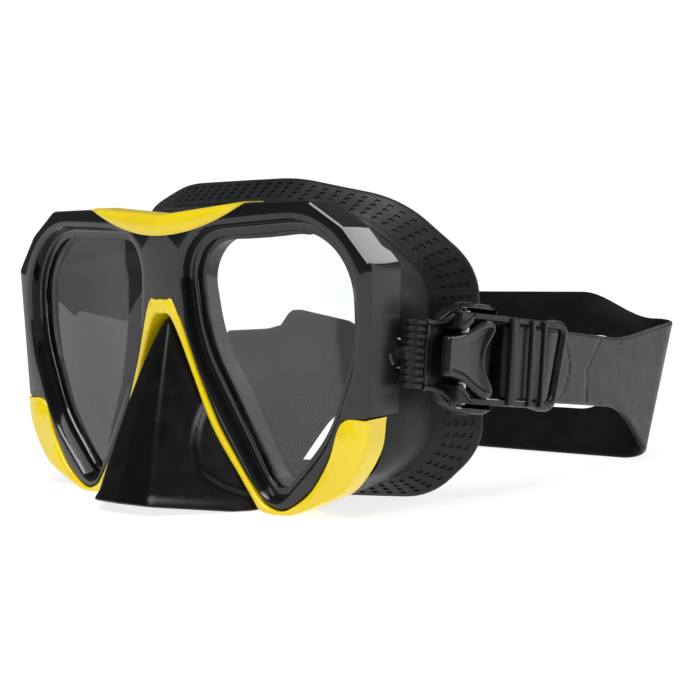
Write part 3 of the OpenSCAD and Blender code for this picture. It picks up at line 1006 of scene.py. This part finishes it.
def rear_bar(bm, x):
    """Loop at the guide's rear: a rounded bar that bends forward into both rails."""
    reach = 15
    half = RAIL_OUT - 0.75
    s = GUIDE_END - 1.8
    thick = 1.65
    line = open_path([(s - reach, -half, 0), (s, -half, 3.4), (s, half, 3.4), (s - reach, half, 0)], 8)
    line = resample(line, 1.0)
    line = [Vector((p.x + REAR_SLANT * (p.y - half), p.y)) for p in line]
    rows = []
    around = 16
    for i, p in enumerate(line):
        side = side_at(line, i)
        radius = thick * mix(0.4, 1.0, ease(min(i, len(line) - 1 - i) / 9))
        row = []
        for k in range(around):
            angle = 2 * pi * k / around
            q = p + side * radius * cos(angle)
            row.append(along(x + 0.9 * radius * sin(angle), q.x, q.y))
        rows.append(row)
    add_grid(bm, rows, cap=True)


def roller(bm):
    """Roller with fine grip grooves, bored for its pin."""
    around = 48
    bore = 1.05
    half = STRAP_H / 2 - 0.1
    rows = [circle(ROLLER_X, ROLLER_S, -half, bore, around)]
    steps = 40
    for k in range(steps + 1):
        w = mix(-half, half, k / steps)
        groove = 0.12 * (k % 2) if 2 < k < steps - 2 else 0
        end = 0.3 if k in (0, steps) else 0
        r = ROLLER_R - groove - end - 0.05
        rows.append(circle(ROLLER_X, ROLLER_S, w, r, around))
    rows.append(circle(ROLLER_X, ROLLER_S, half, bore, around))
    add_grid(bm, rows, close_rows=True)


def lever_pin(bm):
    add_cross_rod(bm, LEVER_X, LEVER_S, EAR_OUT - 1.6, 1.5)


def roller_pin(bm):
    add_cross_rod(bm, ROLLER_X, ROLLER_S, RAIL_OUT - 0.4, 1.0)


# ---------- strap ----------

TAIL = 58       # length of strap inside the roller's turn
WIDENS_AT = 64  # length from the turn to where the strap starts to widen
WIDENS_OVER = 48
CREST_OVER = 34
SLOT_HALF, SLOT_R = 64.0, 14.0
GROOVE_W, GROOVE_DEEP = 0.55, 0.4


def strap_line():
    """Middle of the strap from above as (x, s): the tail, round the roller, back and round the head."""
    inner, outer = ROLLER_X - TURN_R, ROLLER_X + TURN_R
    front = ROLLER_S - TURN_R
    tail_end = 91
    corner = 82
    half = open_path([(inner, tail_end, 0), (inner, front, TURN_R * 0.999), (outer, front, TURN_R * 0.999),
                      (outer, 47, 1), (86.8, GUIDE_END - 1, 30), (corner, STRAP_LEN, 8),
                      (0, STRAP_LEN, 0)], 16)
    half = resample(half, 0.8)
    return half + [Vector((-p.x, p.y)) for p in reversed(half[:-1])]


def groove_depth(s, w):
    """Depth of the moulded grooves behind the guide: an arc, a chevron and a dot at each of its ends."""
    arc = abs(s - (GUIDE_END + 2.5 + 5.5 * (1 - (w / 10.5) ** 2)))
    chevron = abs(s - (91.5 + 0.75 * max(0.0, w) + 0.05 * max(0.0, -w)))
    near = min(arc if abs(w) < 10 else 9, chevron if abs(w) < 11 else 9)
    dots = min(hypot(s - 113, w - 11), hypot(s - 101, w + 11)) - 0.35
    return GROOVE_DEEP * ease(1.25 - min(near, dots) / GROOVE_W)


def strap(material, shaded_inside):
    line = strap_line()
    middle = (len(line) - 1) // 2
    lengths = distances(line[:middle + 1])
    rows = []
    for i, p in enumerate(line):
        side = side_at(line, i)
        length = lengths[min(i, 2 * middle - i)]
        wide = ease((length - TAIL - WIDENS_AT) / WIDENS_OVER)
        rise = ease((length - TAIL - WIDENS_AT - WIDENS_OVER) / CREST_OVER)
        high = (mix(STRAP_H, BACK_H, wide) + CREST * rise) / 2
        ring = []
        for w, out in strap_section(high):
            if out > 0.9 and length > TAIL and abs(p.x) > 60:
                out -= groove_depth(p.y, w)
            q = p + side * out
            ring.append(along(q.x, q.y + LEAN * wide * w, w - SAG * wide + CREST / 2 * rise))
        rows.append(ring)
    bm = bmesh.new()
    add_grid(bm, rows, cap=True)
    bm = without(bm, strap_slot())
    band = make("strap_band", bm, material, "strap_unit", ["strap"], sharp=40)
    band.data.materials.append(shaded_inside)
    # faces turned towards the head get the darker material, which paints shade on the strap's inside
    head = metres(Vector((0, SWING.y, SWING.z)))
    for face in band.data.polygons:
        if face.normal.dot(face.center - head) < 0:
            face.material_index = 1


def strap_section(high):
    """Section of the strap as (w, out) points: outer face, then inner face, with rounded rims."""
    across = 56
    half_t = STRAP_T / 2
    rim = 0.8
    points = [(mix(-(high - rim), high - rim, k / across), half_t) for k in range(across + 1)]
    points += [(high - 0.2, 0.6 * half_t), (high, 0.0), (high - 0.2, -0.6 * half_t)]
    points += [(mix(high - rim, -(high - rim), k / 8), -half_t) for k in range(9)]
    points += [(-high + 0.2, -0.6 * half_t), (-high, 0.0), (-high + 0.2, 0.6 * half_t)]
    return points


def strap_slot():
    """Cutter for the split that lets the two bands part behind the head."""
    r, half = SLOT_R, SLOT_HALF
    middle = CREST / 2 - SAG
    outline = rounded([(-half, middle - r, r * 0.999), (half, middle - r, r * 0.999),
                       (half, middle + r, r * 0.999), (-half, middle + r, r * 0.999)], 14)
    bm = bmesh.new()
    add_grid(bm, [[along(p.x, s, p.y) for p in outline] for s in (STRAP_LEN - 40, STRAP_LEN + 30)], cap=True)
    bmesh.ops.recalc_face_normals(bm, faces=bm.faces[:])
    return bm


def without(bm, cutter):
    """The first drawing with the second cut out of it."""
    objects = []
    for drawing in (bm, cutter):
        bmesh.ops.recalc_face_normals(drawing, faces=drawing.faces[:])
        mesh = bpy.data.meshes.new("draft")
        drawing.to_mesh(mesh)
        drawing.free()
        objects.append(add_object("draft", mesh))
    body, tool = objects
    modifier = body.modifiers.new("cut", "BOOLEAN")
    modifier.operation = "DIFFERENCE"
    modifier.solver = "EXACT"
    modifier.object = tool
    result = bmesh.new()
    result.from_object(body, bpy.context.evaluated_depsgraph_get())
    for draft in objects:
        bpy.data.objects.remove(draft)
    return result


# ---------- stage ----------

def pale_floor():
    """Pale material with a glow of its own, so that the floor stays near white."""
    paint = Paint("pale_floor").set(Roughness=0.6, Base_Color=(0.3, 0.3, 0.3, 1))
    return paint.set(Emission_Color=(1, 1, 1, 1), Emission_Strength=0.82).material


def stage():
    size = 40.0
    bm = bmesh.new()
    for x, y in ((-1, -1), (1, -1), (1, 1), (-1, 1)):
        bm.verts.new((x * size, y * size, 0))
    bm.faces.new(bm.verts[:])
    mesh = bpy.data.meshes.new("floor")
    bm.to_mesh(mesh)
    bm.free()
    mesh.materials.append(pale_floor())
    add_object("floor", mesh)


def aim(lamp, way):
    lamp.rotation_euler = way.to_track_quat("-Z", "Y").to_euler()


def light(name, place, target, size, power):
    data = bpy.data.lights.new(name, "AREA")
    data.shape = "RECTANGLE"
    data.size, data.size_y = size
    data.energy = power
    lamp = add_object(name, data)
    lamp.location = place
    aim(lamp, Vector(target) - Vector(place))


def sky(seen, felt):
    """Surroundings that are white where they are seen, directly or through the glass, and dim as a light."""
    world = bpy.data.worlds.new("studio")
    world.use_nodes = True
    tree = world.node_tree
    path = tree.nodes.new("ShaderNodeLightPath")
    either = tree.nodes.new("ShaderNodeMath")
    either.operation = "MAXIMUM"
    tree.links.new(path.outputs["Is Camera Ray"], either.inputs[0])
    tree.links.new(path.outputs["Is Transmission Ray"], either.inputs[1])
    strength = tree.nodes.new("ShaderNodeMapRange")
    strength.inputs["To Min"].default_value = felt
    strength.inputs["To Max"].default_value = seen
    tree.links.new(either.outputs["Value"], strength.inputs["Value"])
    background = tree.nodes["Background"]
    background.inputs["Color"].default_value = (0.97, 0.985, 1, 1)
    tree.links.new(strength.outputs["Result"], background.inputs["Strength"])
    bpy.context.scene.world = world


def lights():
    sky(1.06, 0.13)
    data = bpy.data.lights.new("overhead", "SUN")
    data.energy = 2.7
    data.angle = radians(40)
    aim(add_object("overhead", data), Vector((-0.22, 0.42, -1)))
    light("side_softbox", (0.75, 0.75, 0.35), (0.05, 0, 0.05), (0.35, 0.8), 1.6)
    light("back_softbox", (0.27, 0.92, 0.88), (0.05, 0, 0.08), (0.45, 0.45), 2.2)


def camera():
    data = bpy.data.cameras.new("camera")
    data.lens = 86.6
    data.sensor_width = 36
    place = Vector((0.40712, -0.35844 + FRONT, 0.08912))
    yaw, pitch, roll = radians(42.25), radians(4.36), radians(-1.93)
    forward = Vector((-sin(yaw) * cos(pitch), cos(yaw) * cos(pitch), -sin(pitch)))
    right = forward.cross(Vector((0, 0, 1))).normalized()
    up = right.cross(forward)
    level = right * cos(roll) + up * sin(roll)
    head = up * cos(roll) - right * sin(roll)
    cam = add_object("camera", data)
    axes = (level, head, -forward)
    cam.matrix_world = Matrix.Translation(place) @ Matrix(axes).transposed().to_4x4()
    bpy.context.scene.camera = cam


def build():
    black = polished_black()
    yellow = polished_yellow()
    satin = satin_plastic()
    silicone = skirt_silicone()
    steel = brushed_steel()
    frame_shell(black, frame_side())
    bridge_trim(yellow)
    lower_trim(yellow)
    for_both(glass, "glass", clear_glass(), "mask", "lens")
    for_both(clamp_ring, "clamp_ring", satin, "mask", "lens_retainer")
    skirt_wall(silicone)
    skirt_web(silicone)
    nose_pocket(nose_silicone())
    links(silicone)
    for_both(link_pin, "link_axle", steel, "mask", "link_pin")
    for_both(bracket, "buckle_shell", satin, "strap_unit", "bracket")
    for_both(guide, "strap_ladder", satin, "strap_unit", "strap_guide")
    for_both(lever, "lever", lever_plastic(), "lever_{}", "release_lever")
    for_both(lever_pin, "lever_axle", steel, "strap_unit", "lever_pin")
    for_both(roller_pin, "roller_axle", steel, "strap_unit", "roller_pin")
    for_both(roller, "roller", satin, "roller_{}", "strap_roller")
    strap(strap_silicone(), strap_shade_face())


build()
stage()
lights()
camera()
bpy.context.scene.view_settings.view_transform = "Standard"
